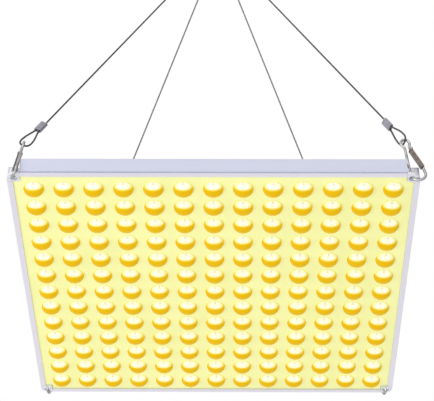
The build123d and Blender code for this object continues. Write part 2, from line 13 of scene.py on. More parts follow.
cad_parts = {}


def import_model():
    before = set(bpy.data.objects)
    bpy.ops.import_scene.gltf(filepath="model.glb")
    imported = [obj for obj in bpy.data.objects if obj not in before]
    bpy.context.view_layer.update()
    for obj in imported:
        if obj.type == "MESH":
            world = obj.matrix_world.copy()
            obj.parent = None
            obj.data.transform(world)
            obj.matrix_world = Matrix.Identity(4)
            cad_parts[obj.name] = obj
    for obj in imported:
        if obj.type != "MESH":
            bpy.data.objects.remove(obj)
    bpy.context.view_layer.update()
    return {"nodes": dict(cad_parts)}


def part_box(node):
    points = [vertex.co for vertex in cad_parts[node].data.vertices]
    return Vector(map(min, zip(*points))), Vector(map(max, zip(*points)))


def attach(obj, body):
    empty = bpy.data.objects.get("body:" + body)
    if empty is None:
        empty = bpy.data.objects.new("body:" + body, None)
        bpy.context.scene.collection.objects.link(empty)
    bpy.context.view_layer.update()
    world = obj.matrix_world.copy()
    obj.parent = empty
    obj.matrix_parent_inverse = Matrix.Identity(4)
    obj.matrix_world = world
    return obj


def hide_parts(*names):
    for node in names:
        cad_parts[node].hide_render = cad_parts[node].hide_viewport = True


LOG = logging.getLogger("grow_light")
MM = 0.001
FULL_TURN = 2 * math.pi
QUARTER_TURN = math.pi / 2
CLOUD_DETAIL, GRAIN_DETAIL = 4.0, 2.0  # octaves of noise
Colour = tuple[float, float, float]
Stops = tuple[tuple[float, Colour], ...]  # place and colour of each stop on a colour ramp
Tone = bpy.types.NodeSocket | Colour
CORNERS = ("front_left", "front_right", "rear_left", "rear_right")


class Grain(Enum):
    """How a finish's fine relief is laid, as the stretch of its noise along X, Y and Z."""

    EVEN = (1.0, 1.0, 1.0)  # like cast or powder-coated metal and moulded plastic
    DRAWN = (0.05, 0.05, 1.0)  # drawn out along X and Y, as on the rails


class Looks(Enum):
    """The way that a face with painted side light looks along Z."""

    DOWN = -1.0
    UP = 1.0


@dataclass(frozen=True)
class PaintedSideLight:
    """Painted light or shade for the faces that look one way, laid as a colour change; these faces
    also don't glow.
    """

    colour: Colour
    looks: Looks
    starts: float = 0.6  # how squarely a face looks that way when the painted light starts
    full: float = 0.8  # and when it is complete


@dataclass(frozen=True)
class Finish:
    """A metal, paint or plastic finish whose tone, roughness and relief vary over the piece, and
    which may carry painted light: a painted dark reflection at grazing edges, painted light or
    shade on the faces that look one way, and a glow.
    """

    name: str
    light: Colour
    dark: Colour
    roughness: tuple[float, float]
    metallic: float = 0.0
    grain: Grain = Grain.EVEN
    cloud_scale: float = 60.0
    cloud_range: tuple[float, float] = (0.3, 0.7)  # noise levels of the dark and light tones
    grain_scale: float = 2500.0
    bump: float = 0.15
    relief_depth: float = 0.05 * MM
    coat: float = 0.0
    glow: float = 0.0
    specular: float = 0.5
    # edge: colour of a painted dark reflection at grazing edges, where the surface turns away from
    # the view
    edge: Colour | None = None
    edge_reflection_blend: float = 0.35
    painted_side_light: PaintedSideLight | None = None

    def make(self) -> bpy.types.Material:
        """Build the node material.

        Returns:
            The finished material.
        """
        material = bpy.data.materials.new(self.name)
        material.use_nodes = True
        nodes, links = material.node_tree.nodes, material.node_tree.links
        shader = nodes["Principled BSDF"]
        for socket, value in (
            ("Metallic", self.metallic), ("Coat Weight", self.coat),
            ("Specular IOR Level", self.specular), ("Emission Strength", self.glow),
        ):
            shader.inputs[socket].default_value = value
        place = nodes.new("ShaderNodeTexCoord")
        scaled = nodes.new("ShaderNodeMapping")
        scaled.inputs["Scale"].default_value = self.grain.value
        links.new(place.outputs["Object"], scaled.inputs["Vector"])

        clouds = noise_node(nodes, links, scaled, self.cloud_scale, CLOUD_DETAIL)
        tone = nodes.new("ShaderNodeValToRGB")
        darkest, lightest = self.cloud_range
        set_ramp(tone, ((darkest, self.dark), (lightest, self.light)))
        links.new(clouds.outputs["Fac"], tone.inputs["Fac"])
        colour = self.paint_edge_reflection(nodes, links, tone)
        if self.painted_side_light is not None:
            colour = self.paint_side_light(nodes, links, place, colour)
        links.new(colour, shader.inputs["Base Color"])
        # Emission in the tone's colour: the chips' own light, and a painted glow on the board.
        if self.glow:
            links.new(tone.outputs["Color"], shader.inputs["Emission Color"])

        grain = noise_node(nodes, links, scaled, self.grain_scale, GRAIN_DETAIL)
        add_roughness(nodes, links, grain, self.roughness)
        relief = nodes.new("ShaderNodeBump")
        relief.inputs["Strength"].default_value = self.bump
        relief.inputs["Distance"].default_value = self.relief_depth
        links.new(grain.outputs["Fac"], relief.inputs["Height"])
        links.new(relief.outputs["Normal"], shader.inputs["Normal"])
        return material

    def paint_side_light(
        self,
        nodes: bpy.types.Nodes,
        links: bpy.types.NodeLinks,
        place: bpy.types.Node,
        colour: bpy.types.NodeSocket,
    ) -> bpy.types.NodeSocket:
        """Paint light or shade on the faces that look the given way, and put out their glow.

        Args:
            nodes: The material's nodes.
            links: The material's links.
            place: The texture coordinates.
            colour: The colour before the tint.

        Returns:
            The socket that carries the colour.
        """
        share = self.one_side(nodes, links, place)
        painted_side_tone = nodes.new("ShaderNodeVectorMath")
        painted_side_tone.operation = "MULTIPLY"
        painted_side_tone.inputs[1].default_value = self.painted_side_light.colour
        links.new(colour, painted_side_tone.inputs[0])
        if self.glow:
            glow = nodes.new("ShaderNodeMapRange")
            glow.inputs["To Min"].default_value = self.glow
            glow.inputs["To Max"].default_value = 0.0
            links.new(share, glow.inputs["Value"])
            links.new(glow.outputs["Result"], nodes["Principled BSDF"].inputs["Emission Strength"])
        return mixed(nodes, links, share, colour, painted_side_tone.outputs["Vector"])

    def one_side(
        self, nodes: bpy.types.Nodes, links: bpy.types.NodeLinks, place: bpy.types.Node
    ) -> bpy.types.NodeSocket:
        """Find the faces that get the painted side light.

        Args:
            nodes: The material's nodes.
            links: The material's links.
            place: The texture coordinates.

        Returns:
            The socket that is 1 on those faces and 0 elsewhere.
        """
        axes = nodes.new("ShaderNodeSeparateXYZ")
        links.new(place.outputs["Normal"], axes.inputs["Vector"])
        share = nodes.new("ShaderNodeMapRange")
        share.inputs["From Min"].default_value = self.painted_side_light.starts * self.painted_side_light.looks.value
        share.inputs["From Max"].default_value = self.painted_side_light.full * self.painted_side_light.looks.value
        links.new(axes.outputs["Z"], share.inputs["Value"])
        return share.outputs["Result"]

    def paint_edge_reflection(
        self, nodes: bpy.types.Nodes, links: bpy.types.NodeLinks, tone: bpy.types.Node
    ) -> bpy.types.NodeSocket:
        """Turn the tone towards the edge colour where the surface turns away from the view, as a
        painted dark reflection at grazing edges.

        Args:
            nodes: The material's nodes.
            links: The material's links.
            tone: The node whose colour is the piece's own tone.

        Returns:
            The socket that carries the colour.
        """
        if self.edge is None:
            return tone.outputs["Color"]
        facing = nodes.new("ShaderNodeLayerWeight")
        facing.inputs["Blend"].default_value = self.edge_reflection_blend
        return mixed(nodes, links, facing.outputs["Facing"], tone.outputs["Color"], self.edge)


def noise_node(
    nodes: bpy.types.Nodes,
    links: bpy.types.NodeLinks,
    place: bpy.types.Node,
    scale: float,
    detail: float,
) -> bpy.types.Node:
    """Add a noise texture that reads its place from another node.

    Args:
        nodes: The material's nodes.
        links: The material's links.
        place: The node whose vector gives the place.
        scale: Features per metre.
        detail: Octaves of finer noise.

    Returns:
        The noise node.
    """
    noise = nodes.new("ShaderNodeTexNoise")
    noise.inputs["Scale"].default_value = scale
    noise.inputs["Detail"].default_value = detail
    links.new(place.outputs[0], noise.inputs["Vector"])
    return noise


def add_roughness(
    nodes: bpy.types.Nodes,
    links: bpy.types.NodeLinks,
    grain: bpy.types.Node,
    limits: tuple[float, float],
) -> None:
    """Vary the shader's roughness with a noise texture.

    Args:
        nodes: The material's nodes.
        links: The material's links.
        grain: The noise node.
        limits: Roughness where the noise is 0 and where it is 1.
    """
    rough = nodes.new("ShaderNodeMapRange")
    rough.inputs["To Min"].default_value, rough.inputs["To Max"].default_value = limits
    links.new(grain.outputs["Fac"], rough.inputs["Value"])
    links.new(rough.outputs["Result"], nodes["Principled BSDF"].inputs["Roughness"])


def ranged(
    nodes: bpy.types.Nodes,
    links: bpy.types.NodeLinks,
    value: bpy.types.NodeSocket,
    span: tuple[float, float],
) -> bpy.types.NodeSocket:
    """Map a value so that it runs from 0 to 1 over a span, and stops there.

    Args:
        nodes: The material's nodes.
        links: The material's links.
        value: The value.
        span: Where it reads 0 and where it reads 1.

    Returns:
        The socket with the mapped value.
    """
    mapped = nodes.new("ShaderNodeMapRange")
    mapped.inputs["From Min"].default_value = span[0]
    mapped.inputs["From Max"].default_value = span[1]
    links.new(value, mapped.inputs["Value"])
    return mapped.outputs["Result"]


def set_ramp(node: bpy.types.Node, stops: Stops) -> None:
    """Set a colour ramp's stops.

    Args:
        node: The colour ramp.
        stops: Place and colour of each stop, lowest first.
    """
    ramp = node.color_ramp
    for element, (place, colour) in zip(ramp.elements, (stops[0], stops[-1])):
        element.position, element.color = place, (*colour, 1.0)
    for place, colour in stops[1:-1]:
        ramp.elements.new(place).color = (*colour, 1.0)


def mixed(
    nodes: bpy.types.Nodes,
    links: bpy.types.NodeLinks,
    share: bpy.types.NodeSocket,
    first: Tone,
    second: Tone,
) -> bpy.types.NodeSocket:
    """Mix one colour towards another.

    Args:
        nodes: The material's nodes.
        links: The material's links.
        share: How much of the second colour, from 0 to 1.
        first: The colour that it starts from, as a socket or a fixed colour.
        second: The colour that it goes to.

    Returns:
        The socket with the mixed colour.
    """
    mix = nodes.new("ShaderNodeMix")
    mix.data_type = "RGBA"
    links.new(share, mix.inputs[0])
    sockets = {socket.name: socket for socket in mix.inputs if socket.type == "RGBA"}
    for name, tone in (("A", first), ("B", second)):
        if isinstance(tone, tuple):
            sockets[name].default_value = (*tone, 1.0)
        else:
            links.new(tone, sockets[name])
    return next(socket for socket in mix.outputs if socket.type == "RGBA")


def cell_axis(
    nodes: bpy.types.Nodes, links: bpy.types.NodeLinks, value: bpy.types.NodeSocket, pitch: float
) -> bpy.types.NodeSocket:
    """Wrap a coordinate so that it runs from side to side of each lens's own square.

    Args:
        nodes: The material's nodes.
        links: The material's links.
        value: The coordinate.
        pitch: Spacing of the lenses.

    Returns:
        The socket with the wrapped coordinate.
    """
    wrapped = nodes.new("ShaderNodeMath")
    wrapped.operation = "WRAP"
    wrapped.inputs[1].default_value = pitch / 2
    wrapped.inputs[2].default_value = -pitch / 2
    links.new(value, wrapped.inputs[0])
    return wrapped.outputs[0]


def distance_from(
    nodes: bpy.types.Nodes,
    links: bpy.types.NodeLinks,
    across: bpy.types.NodeSocket,
    along: bpy.types.NodeSocket,
    spot: tuple[float, float],
) -> bpy.types.NodeSocket:
    """Distance in plan from a point of each lens's own square.

    Args:
        nodes: The material's nodes.
        links: The material's links.
        across: The coordinate along X.
        along: The coordinate along Y.
        spot: The point.

    Returns:
        The socket with the distance in metres.
    """
    joined = nodes.new("ShaderNodeCombineXYZ")
    links.new(across, joined.inputs["X"])
    links.new(along, joined.inputs["Y"])
    apart = nodes.new("ShaderNodeVectorMath")
    apart.operation = "DISTANCE"
    apart.inputs[1].default_value = (*spot, 0.0)
    links.new(joined.outputs["Vector"], apart.inputs[0])
    return apart.outputs["Value"]


def new_piece(name: str, mesh: bmesh.types.BMesh, material: bpy.types.Material) -> bpy.types.Object:
    """Turn a bmesh into a smooth-shaded object in the scene.

    Args:
        name: The piece's name.
        mesh: Its geometry, in metres in the frame. It is freed.
        material: Its finish.

    Returns:
        The new object.
    """
    bmesh.ops.recalc_face_normals(mesh, faces=mesh.faces)
    data = bpy.data.meshes.new(name)
    mesh.to_mesh(data)
    mesh.free()
    data.polygons.foreach_set("use_smooth", [True] * len(data.polygons))
    data.materials.append(material)
    piece = bpy.data.objects.new(name, data)
    bpy.context.scene.collection.objects.link(piece)
    return piece


CadNodes = dict[str, bpy.types.Object]


def dress(nodes: CadNodes, name: str, material: bpy.types.Material) -> None:
    """Give a CAD node its finish, and log it.

    Args:
        nodes: The CAD nodes' objects by name.
        name: The node to dress.
        material: Its finish.
    """
    piece = nodes[name]
    piece.data.materials.clear()
    piece.data.materials.append(material)
    LOG.info("dressed %s in %s", name, material.name)


@dataclass(frozen=True)
class Lamp:
    """A soft square lamp, aimed at the lit face's centre."""

    name: str
    spot: tuple[float, float, float]  # from the lit face's centre
    power: float
    size: float

    def place(self, centre: Vector) -> None:
        """Put the lamp in the scene.

        Args:
            centre: The lit face's centre.
        """
        data = bpy.data.lights.new(self.name, "AREA")
        data.energy, data.size = self.power, self.size
        lamp = bpy.data.objects.new(self.name, data)
        bpy.context.scene.collection.objects.link(lamp)
        lamp.location = Vector(self.spot) + centre
        aim = centre - lamp.location
        lamp.rotation_euler = aim.to_track_quat("-Z", "Y").to_euler()


SOFT_LAMPS = (
    Lamp("key_lamp", (-0.9, -1.4, 0.5), power=2.0, size=0.9),
    Lamp("fill_lamp", (1.3, -0.9, -0.2), power=0.8, size=1.1),
    Lamp("back_lamp", (0.3, 1.5, 0.6), power=3.0, size=1.2),
    Lamp("low_lamp", (-0.7, -0.5, -0.95), power=3.5, size=0.8),
)


@dataclass
class Studio:
    """Camera, floor, sky and lamps."""

    face_z: float  # height of the frame's lower face
    lens_mm: float = 144.9
    sensor_mm: float = 36.0
    sharp: tuple[float, float] = (0.05, 20.0)  # nearest and farthest distance drawn
    azimuth: float = -0.836
    elevation: float = 37.76
    roll: float = 0.611
    stand: tuple[float, float, float] = (0.0180, -1.1720, -0.8132)  # from the lit face's centre
    sky_tones: Stops = ((0.25, (1.0, 1.0, 1.0)), (0.85, (0.3, 0.31, 0.33)))  # from -X to +X
    floor_drop: float = 1.15
    floor_half: float = 4.0
    floor_paint: Finish = Finish("floor_paint", (0.86, 0.86, 0.87), (0.83, 0.83, 0.84),
                                 (0.7, 0.8), cloud_scale=2.0, grain_scale=80.0, bump=0.02)

    def set_up(self) -> None:
        """Place the camera, sky, floor and lamps."""
        self.place_camera()
        self.hang_sky()
        self.lay_floor()
        for lamp in SOFT_LAMPS:
            lamp.place(Vector((0, 0, self.face_z)))

    def place_camera(self) -> None:
        """Put the camera below and in front of the lit face, looking up at it."""
        az, el = math.radians(self.azimuth), math.radians(self.elevation)
        ahead = Vector((math.sin(az) * math.cos(el), math.cos(az) * math.cos(el), math.sin(el)))
        right = Vector((math.cos(az), -math.sin(az), 0.0))
        up = right.cross(ahead)
        turn = math.radians(self.roll)
        right, up = (
            right * math.cos(turn) + up * math.sin(turn),
            up * math.cos(turn) - right * math.sin(turn),
        )
        data = bpy.data.cameras.new("camera")
        data.lens = self.lens_mm
        data.sensor_width = self.sensor_mm
        data.clip_start, data.clip_end = self.sharp
        camera = bpy.data.objects.new("camera", data)
        bpy.context.scene.collection.objects.link(camera)
        axes = Matrix((right, up, -ahead)).transposed()
        spot = Vector(self.stand) + Vector((0.0, 0.0, self.face_z))
        camera.matrix_world = Matrix.Translation(spot) @ axes.to_4x4()
        bpy.context.scene.camera = camera
        LOG.info("camera at %s", tuple(round(c, 3) for c in spot))

    def hang_sky(self) -> None:
        """Light the room with a white sky that is greyer towards +X."""
        scene = bpy.context.scene
        scene.view_settings.view_transform = "Standard"
        world = bpy.data.worlds.new("sky")
        scene.world = world
        world.use_nodes = True
        nodes, links = world.node_tree.nodes, world.node_tree.links
        sky = nodes["Background"]
        place = nodes.new("ShaderNodeTexCoord")
        apart = nodes.new("ShaderNodeSeparateXYZ")
        links.new(place.outputs["Generated"], apart.inputs["Vector"])
        shade = nodes.new("ShaderNodeValToRGB")
        set_ramp(shade, self.sky_tones)
        links.new(apart.outputs["X"], shade.inputs["Fac"])
        links.new(shade.outputs["Color"], sky.inputs["Color"])
        sky.inputs["Strength"].default_value = 1.0

    def lay_floor(self) -> None:
        """Lay the pale floor under the light."""
        mesh = bmesh.new()
        bmesh.ops.create_grid(mesh, x_segments=1, y_segments=1, size=self.floor_half)
        bmesh.ops.translate(mesh, verts=mesh.verts, vec=(0, 0, self.face_z - self.floor_drop))
        new_piece("floor", mesh, self.floor_paint.make())


@dataclass(frozen=True)
class RopeRoute:
    """One rope's route: a loop round the corner hook's eye, a straight run, a loop round the ring.

    Its points are those of the CAD rope. The tip and the ring's place are in millimetres.
    """

    low_tip: tuple[float, float, float]  # where the lower loop hangs in the hook's eye
    ring_y: float  # the loop's place along the ring's bar
    low_side: tuple[float, float, float]  # direction that the lower loop opens in
    top_side: tuple[float, float, float]
    ring_z: float = -71.370
    ring_gap: float = 2.3 * MM
    low_loop: float = 25.0 * MM
    top_loop: float = 21.0 * MM
    barrel: float = 1.0 * MM
    flare: float = 4.6 * MM
    flare_at: float = 9.0 * MM
    tip: float = 3.7 * MM
    tail: float = 11.5 * MM
    near_mouth: float = 3.0 * MM
    past_mouth: float = 21.0 * MM

    def points(self) -> tuple[Vector, ...]:
        """Lay out the whole route.

        Returns:
            Control points from the lower dead end to the upper one.
        """
        low_tip = Vector(self.low_tip) * MM
        ring_point = Vector((0.0, self.ring_y, self.ring_z)) * MM
        upward = (ring_point - low_tip).normalized()
        low = self.turn(low_tip, upward, Vector(self.low_side), self.low_loop)
        top_tip = ring_point + upward * self.ring_gap
        top = self.turn(top_tip, -upward, Vector(self.top_side), self.top_loop)[::-1]
        run = (top[0] - low[-1]).normalized()
        straight = [low[-1] + run * self.near_mouth, low[-1] + run * self.past_mouth,
                    top[0] - run * self.past_mouth, top[0] - run * self.near_mouth]
        return (*low, *straight, *top)

    def turn(self, tip: Vector, way: Vector, side: Vector, length: float) -> list[Vector]:
        """One end loop, from its dead end round to its live line.

        Args:
            tip: The loop's far tip.
            way: Direction from the tip to the ferrule.
            side: Direction that the loop opens in.
            length: From the tip to the ferrule's mouth.

        Returns:
            The loop's control points.
        """
        across = (side - way * side.dot(way)).normalized()
        steps = (
            (-self.barrel, length + self.tail), (-self.barrel, length + self.near_mouth),
            (-self.barrel, length), (-self.flare, self.flare_at), (-self.tip, 0.0),
            (self.tip, 0.0), (self.flare, self.flare_at), (self.barrel, length),
        )
        return [tip + across * aside + way * along for aside, along in steps]


ROUTES = {
    "front_left": RopeRoute(low_tip=(-145.547, -145.032, -433.110), ring_y=-5.4,
                            low_side=(0.95, 0.2, 0.0), top_side=(-1.0, 0.0, 0.0)),
    "front_right": RopeRoute(low_tip=(145.041, -149.200, -432.978), ring_y=-2.0,
                             low_side=(0.49, -0.86, 0.0), top_side=(1.0, 0.0, 0.0)),
    "rear_left": RopeRoute(low_tip=(-146.398, 148.438, -432.291), ring_y=2.0,
                           low_side=(0.95, -0.3, 0.0), top_side=(-1.0, 0.0, 0.0)),
    "rear_right": RopeRoute(low_tip=(146.398, 148.438, -432.291), ring_y=5.4,
                            low_side=(0.95, 0.3, 0.0), top_side=(1.0, 0.0, 0.0)),
}


@dataclass(frozen=True)
class Station:
    """A place on the rope's centreline, with two directions across it."""

    spot: Vector
    across: Vector
    beside: Vector
    along: float  # distance from the rope's start


@dataclass
class WireRope:
    """One stranded leg of the hanger, from its lower dead end to its upper one."""

    corner: str
    route: tuple[Vector, ...]
    finish: bpy.types.Material
    ferrules: list[bpy.types.Object]
    diameter: float = 1.5 * MM
    strands: int = 6
    strand_r: float = 0.25 * MM
    strand_sides: int = 6
    lay: float = 10.0 * MM
    step: float = 0.9 * MM
    curve_order: int = 3
    curve_steps: int = 24  # between one control point and the next

    def spline_points(self) -> list[Vector]:
        """The rope's centreline, read from a smooth spline through its route.

        Returns:
            Points along the centreline, close together.
        """
        data = bpy.data.curves.new("route", "CURVE")
        data.dimensions = "3D"
        spline = data.splines.new("NURBS")
        spline.points.add(len(self.route) - 1)
        for point, spot in zip(spline.points, self.route):
            point.co = (*spot, 1.0)
        spline.order_u = self.curve_order
        spline.use_endpoint_u = True
        data.resolution_u = self.curve_steps
        holder = bpy.data.objects.new("route", data)
        bpy.context.scene.collection.objects.link(holder)
        bpy.context.view_layer.update()
        line = bpy.data.meshes.new_from_object(holder)
        points = [v.co.copy() for v in line.vertices]
        bpy.data.objects.remove(holder)
        bpy.data.meshes.remove(line)
        return points

    def even_points(self) -> list[Vector]:
        """The centreline again, spaced evenly enough for the strands.

        Returns:
            Points no more than about one step apart.
        """
        points, spaced = self.spline_points(), []
        for here, after in zip(points, points[1:]):
            parts = max(1, round((after - here).length / self.step))
            spaced += [here.lerp(after, k / parts) for k in range(parts)]
        return [*spaced, points[-1]]

    def stations(self, line: list[Vector]) -> list[Station]:
        """Carry one direction across the rope along its centreline, without twist.

        Args:
            line: The centreline.

        Returns:
            A station at each of its points.
        """
        side = (line[1] - line[0]).orthogonal().normalized()
        found, run = [], 0.0
        for index, spot in enumerate(line):
            ahead = (line[min(index + 1, len(line) - 1)] - line[max(index - 1, 0)]).normalized()
            side = (side - ahead * side.dot(ahead)).normalized()
            if index:
                run += (spot - line[index - 1]).length
            found.append(Station(spot, side.copy(), ahead.cross(side), run))
        return found

    def lay_strand(
        self, mesh: bmesh.types.BMesh, stations: list[Station], phase: float
    ) -> None:
        """Wind one strand round the centreline.

        Args:
            mesh: The rope's geometry, which the strand is added to.
            stations: The centreline's stations.
            phase: Where the strand starts round the rope.
        """
        rings = []
        for here in stations:
            turn = phase + FULL_TURN * here.along / self.lay
            out = here.across * math.cos(turn) + here.beside * math.sin(turn)
            ahead = here.across.cross(here.beside)
            middle = here.spot + out * (self.diameter / 2 - self.strand_r)
            ring = []
            for k in range(self.strand_sides):
                angle = FULL_TURN * k / self.strand_sides
                edge = out * math.cos(angle) + ahead.cross(out) * math.sin(angle)
                ring.append(mesh.verts.new(middle + edge * self.strand_r))
            rings.append(ring)
        for low, high in zip(rings, rings[1:]):
            for k in range(self.strand_sides):
                after = (k + 1) % self.strand_sides
                mesh.faces.new((low[k], low[after], high[after], high[k]))
        mesh.faces.new(rings[0][::-1])
        mesh.faces.new(rings[-1])

    def build(self) -> None:
        line = self.even_points()
        stations = self.stations(line)
        mesh = bmesh.new()
        for strand in range(self.strands):
            self.lay_strand(mesh, stations, FULL_TURN * strand / self.strands)
        rope = new_piece(f"wire_rope_{self.corner}", mesh, self.finish)
        node = f"rope_{self.corner}"
        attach(rope, "lamp")
        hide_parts(node)


@dataclass
class Hanger:
    """The hanging kit: hooks, gates, ring, ferrules and the four ropes."""

    nodes: CadNodes
    # The wire's dark edges are a painted dark reflection, not a colour of the steel.
    wire: Finish = Finish(
        "bright_wire", (0.80, 0.79, 0.78), (0.42, 0.41, 0.41), (0.08, 0.2), metallic=1.0,
        cloud_scale=220.0, grain_scale=3500.0, bump=0.1, edge=(0.02, 0.018, 0.02))
    # The gates' dark edges are a painted dark reflection too.
    sheet: Finish = Finish(
        "gate_sheet", (0.34, 0.29, 0.25), (0.17, 0.14, 0.12), (0.15, 0.3), metallic=1.0,
        cloud_scale=260.0, grain_scale=3500.0, bump=0.1, edge=(0.03, 0.025, 0.02))
    pressed: Finish = Finish(
        "pressed_sleeve", (0.42, 0.41, 0.46), (0.28, 0.27, 0.32), (0.35, 0.55), metallic=0.9,
        cloud_scale=500.0, bump=0.4)
    # One rope steel in two tones: the front ropes are painted darker as shade, the rear ones
    # lighter as light.
    front_painted_shade_steel: Finish = Finish(
        "rope_steel_painted_shade", (0.16, 0.16, 0.16), (0.09, 0.09, 0.09), (0.3, 0.45), metallic=0.8,
        cloud_scale=400.0)
    rear_painted_light_steel: Finish = Finish(
        "rope_steel_painted_light", (0.42, 0.42, 0.42), (0.3, 0.3, 0.3), (0.3, 0.45), metallic=0.8,
        cloud_scale=400.0)

    def build_ropes(self) -> None:
        """Twist the four ropes along their routes: one steel, painted darker in front as shade and
        lighter behind as light.
        """
        front_painted_shade_steel, rear_painted_light_steel = self.front_painted_shade_steel.make(), self.rear_painted_light_steel.make()
        for corner in CORNERS:
            steel = front_painted_shade_steel if corner.startswith("front") else rear_painted_light_steel
            ferrules = [self.nodes[f"{end}_ferrule_{corner}"] for end in ("lower", "upper")]
            WireRope(corner, ROUTES[corner].points(), steel, ferrules).build()

    def dress_hardware(self) -> None:
        wire, sheet, pressed = self.wire.make(), self.sheet.make(), self.pressed.make()
        for corner in CORNERS:
            dress(self.nodes, f"clip_{corner}", wire)
            dress(self.nodes, f"gate_{corner}", sheet)
            dress(self.nodes, f"gate_pin_{corner}", wire)
            dress(self.nodes, f"lower_ferrule_{corner}", pressed)
            dress(self.nodes, f"upper_ferrule_{corner}", pressed)
        for name in ("top_hook", "top_ring", "top_gate_pin"):
            dress(self.nodes, name, wire)
        dress(self.nodes, "top_gate", sheet)


INNER_FINISHES = (
    (Finish("zinc_plate", (0.72, 0.72, 0.74), (0.6, 0.6, 0.63), (0.2, 0.35), metallic=1.0,
            cloud_scale=300.0),
     ("back_plate_screws", "post_screws", "housing_screws", "driver_screws")),
    (Finish("turned_brass", (0.82, 0.66, 0.35), (0.7, 0.54, 0.26), (0.2, 0.35), metallic=1.0,
            cloud_scale=300.0),
     ("board_posts", "driver_posts", "inlet_pins")),
    (Finish("green_mask", (0.03, 0.22, 0.09), (0.02, 0.17, 0.07), (0.3, 0.4), coat=0.3),
     ("driver_board",)),
    (Finish("moulded_case", (0.03, 0.03, 0.035), (0.02, 0.02, 0.025), (0.4, 0.55)),
     ("driver_components", "inlet_body")),
    (Finish("soft_rubber", (0.025, 0.025, 0.025), (0.015, 0.015, 0.015), (0.6, 0.75)),
     ("lead_grommet",)),
    (Finish("red_insulation", (0.5, 0.03, 0.02), (0.4, 0.02, 0.015), (0.4, 0.5)),
     ("output_leads",)),
)


@dataclass
class Panel:
    """The frame, board, back plate and driver: CAD nodes that need only their finishes."""

    nodes: CadNodes
    # The rails' faces that look down are painted lighter and warmer: painted light from below.
    silver: Finish = Finish(
        "silver_anodised", (0.68, 0.70, 0.83), (0.63, 0.65, 0.78), (0.32, 0.45), metallic=0.55,
        grain=Grain.DRAWN, grain_scale=4000.0, bump=0.12,
        painted_side_light=PaintedSideLight((1.33, 1.25, 1.15), Looks.DOWN))
    cast: Finish = Finish(
        "cast_corner", (0.86, 0.86, 0.91), (0.80, 0.80, 0.86), (0.35, 0.5), metallic=0.4,
        grain_scale=1800.0, bump=0.25)
    # The board's pale yellow and its glow are painted light from the chips on a white mask; faces
    # that look up keep the mask's plain white-grey and don't glow.
    board: Finish = Finish(
        "board_mask_painted_glow", (0.79, 0.80, 0.37), (0.75, 0.76, 0.33), (0.5, 0.6), cloud_scale=25.0,
        grain_scale=900.0, bump=0.05, glow=0.3, specular=0.2,
        painted_side_light=PaintedSideLight((0.85, 0.85, 1.8), Looks.UP))
    chip: Finish = Finish(
        "chip_phosphor", (1.0, 0.97, 0.75), (1.0, 0.9, 0.55), (0.3, 0.4), cloud_scale=800.0,
        glow=6.0)
    powder: Finish = Finish(
        "powder_coat", (0.83, 0.84, 0.86), (0.80, 0.81, 0.83), (0.42, 0.58), grain_scale=1400.0,
        bump=0.35)

    def dress_all(self) -> None:
        """Give every CAD node of the panel its finish."""
        outer = (
            (self.silver, [f"{side}_rail" for side in ("front", "rear", "left", "right")]),
            (self.cast, [f"corner_bracket_{corner}" for corner in CORNERS]),
            (self.board, ["led_board"]),
            (self.chip, ["led_chips"]),
            (self.powder, ["back_plate", "driver_housing"]),
        )
        for finish, names in (*outer, *INNER_FINISHES):
            material = finish.make()
            for name in names:
                dress(self.nodes, name, material)


